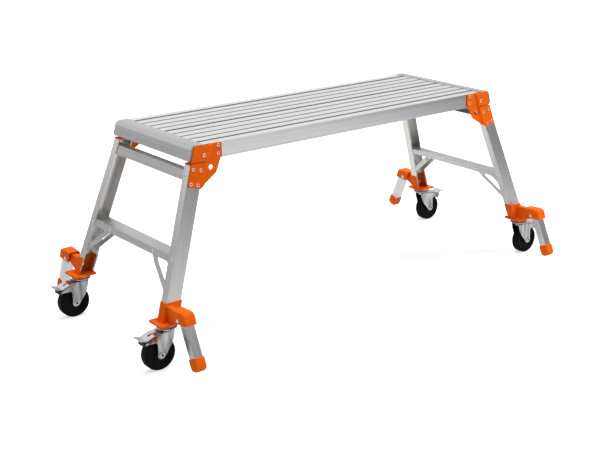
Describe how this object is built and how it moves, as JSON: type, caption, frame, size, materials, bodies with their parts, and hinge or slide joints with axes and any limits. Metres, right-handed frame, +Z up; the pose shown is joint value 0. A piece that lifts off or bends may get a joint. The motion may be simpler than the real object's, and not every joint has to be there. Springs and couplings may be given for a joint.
{
  "type": "mobile work platform",
  "caption": "Low work platform: grooved aluminium deck on fixed, splayed leg frames with steps, braked swivel casters and swing-out stabilisers.",
  "frame": {"origin": "on the floor under the middle of the deck", "axes": "+X along the deck to the right end, +Y to the rear, +Z up; the front faces -Y"},
  "size_m": [1.689, 0.8534, 0.62],
  "materials": {
    "aluminium": "extruded satin",
    "orange": "orange powder coat",
    "orange_cap": "moulded orange",
    "zinc": "bright zinc plate",
    "tyre": "black rubber"
  },
  "bodies": {
    "frame": {"plank_front": "aluminium", "plank_rear": "aluminium", "side_rail_front": "aluminium", "side_rail_rear": "aluminium", "end_bar_left": "aluminium", "end_bar_right": "aluminium", "cross_member_left": "aluminium", "cross_member_middle": "aluminium", "cross_member_right": "aluminium", "corner_plate_front_left": "orange", "corner_plate_front_right": "orange", "corner_plate_rear_left": "orange", "corner_plate_rear_right": "orange", "stile_front_left": "aluminium", "stile_front_right": "aluminium", "stile_rear_left": "aluminium", "stile_rear_right": "aluminium", "caster_bracket_front_left": "orange", "caster_bracket_front_right": "orange", "caster_bracket_rear_left": "orange", "caster_bracket_rear_right": "orange", "hood_front_left": "orange", "hood_front_right": "orange", "hood_rear_left": "orange", "hood_rear_right": "orange", "end_bolts": "zinc", "crossbar_left": "aluminium", "step_left": "aluminium", "braces_left": "aluminium", "leg_bolts_left": "zinc", "swivel_heads_left": "zinc", "crossbar_right": "aluminium", "step_right": "aluminium", "braces_right": "aluminium", "leg_bolts_right": "zinc", "swivel_heads_right": "zinc"},
    "front_left_caster": {"fork_front_left": "zinc"},
    "front_left_wheel": {"wheel_front_left": "tyre"},
    "front_left_pedal": {"pedal_front_left": "zinc", "brake_block_front_left": "tyre"},
    "front_left_stabiliser": {"tube_front_left": "aluminium", "foot_front_left": "orange_cap"},
    "front_right_caster": {"fork_front_right": "zinc"},
    "front_right_wheel": {"wheel_front_right": "tyre"},
    "front_right_pedal": {"pedal_front_right": "zinc", "brake_block_front_right": "tyre"},
    "front_right_stabiliser": {"tube_front_right": "aluminium", "foot_front_right": "orange_cap"},
    "rear_left_caster": {"fork_rear_left": "zinc"},
    "rear_left_wheel": {"wheel_rear_left": "tyre"},
    "rear_left_pedal": {"pedal_rear_left": "zinc", "brake_block_rear_left": "tyre"},
    "rear_left_stabiliser": {"tube_rear_left": "aluminium", "foot_rear_left": "orange_cap"},
    "rear_right_caster": {"fork_rear_right": "zinc"},
    "rear_right_wheel": {"wheel_rear_right": "tyre"},
    "rear_right_pedal": {"pedal_rear_right": "zinc", "brake_block_rear_right": "tyre"},
    "rear_right_stabiliser": {"tube_rear_right": "aluminium", "foot_rear_right": "orange_cap"}
  },
  "joints": [
    {"name": "front_left_caster_swivel", "type": "hinge", "parent": "frame", "child": "front_left_caster", "pos_m": [-0.74496, -0.259, 0.126], "axis": [0, 0, -1], "continuous": true},
    {"name": "front_left_wheel_spin", "type": "hinge", "parent": "front_left_caster", "child": "front_left_wheel", "pos_m": [-0.77796, -0.259, 0.05], "axis": [0, 1, 0], "continuous": true},
    {"name": "front_left_brake_press", "type": "hinge", "parent": "front_left_caster", "child": "front_left_pedal", "pos_m": [-0.78796, -0.259, 0.1055], "axis": [0, -1, 0], "range_deg": [0, 5]},
    {"name": "front_left_stabiliser_swing", "type": "hinge", "parent": "frame", "child": "front_left_stabiliser", "pos_m": [-0.73696, -0.339, 0.167], "axis": [-1, 0, 0], "range_deg": [-25, 0]},
    {"name": "front_right_caster_swivel", "type": "hinge", "parent": "frame", "child": "front_right_caster", "pos_m": [0.74496, -0.259, 0.126], "axis": [0, 0, 1], "continuous": true},
    {"name": "front_right_wheel_spin", "type": "hinge", "parent": "front_right_caster", "child": "front_right_wheel", "pos_m": [0.77796, -0.259, 0.05], "axis": [0, 1, 0], "continuous": true},
    {"name": "front_right_brake_press", "type": "hinge", "parent": "front_right_caster", "child": "front_right_pedal", "pos_m": [0.78796, -0.259, 0.1055], "axis": [0, 1, 0], "range_deg": [0, 5]},
    {"name": "front_right_stabiliser_swing", "type": "hinge", "parent": "frame", "child": "front_right_stabiliser", "pos_m": [0.73696, -0.339, 0.167], "axis": [-1, 0, 0], "range_deg": [-25, 0]},
    {"name": "rear_left_caster_swivel", "type": "hinge", "parent": "frame", "child": "rear_left_caster", "pos_m": [-0.74496, 0.259, 0.126], "axis": [0, 0, 1], "continuous": true},
    {"name": "rear_left_wheel_spin", "type": "hinge", "parent": "rear_left_caster", "child": "rear_left_wheel", "pos_m": [-0.77796, 0.259, 0.05], "axis": [0, 1, 0], "continuous": true},
    {"name": "rear_left_brake_press", "type": "hinge", "parent": "rear_left_caster", "child": "rear_left_pedal", "pos_m": [-0.78796, 0.259, 0.1055], "axis": [0, -1, 0], "range_deg": [0, 5]},
    {"name": "rear_left_stabiliser_swing", "type": "hinge", "parent": "frame", "child": "rear_left_stabiliser", "pos_m": [-0.73696, 0.339, 0.167], "axis": [1, 0, 0], "range_deg": [-25, 0]},
    {"name": "rear_right_caster_swivel", "type": "hinge", "parent": "frame", "child": "rear_right_caster", "pos_m": [0.74496, 0.259, 0.126], "axis": [0, 0, -1], "continuous": true},
    {"name": "rear_right_wheel_spin", "type": "hinge", "parent": "rear_right_caster", "child": "rear_right_wheel", "pos_m": [0.77796, 0.259, 0.05], "axis": [0, 1, 0], "continuous": true},
    {"name": "rear_right_brake_press", "type": "hinge", "parent": "rear_right_caster", "child": "rear_right_pedal", "pos_m": [0.78796, 0.259, 0.1055], "axis": [0, 1, 0], "range_deg": [0, 5]},
    {"name": "rear_right_stabiliser_swing", "type": "hinge", "parent": "frame", "child": "rear_right_stabiliser", "pos_m": [0.73696, 0.339, 0.167], "axis": [1, 0, 0], "range_deg": [-25, 0]}
  ]
}
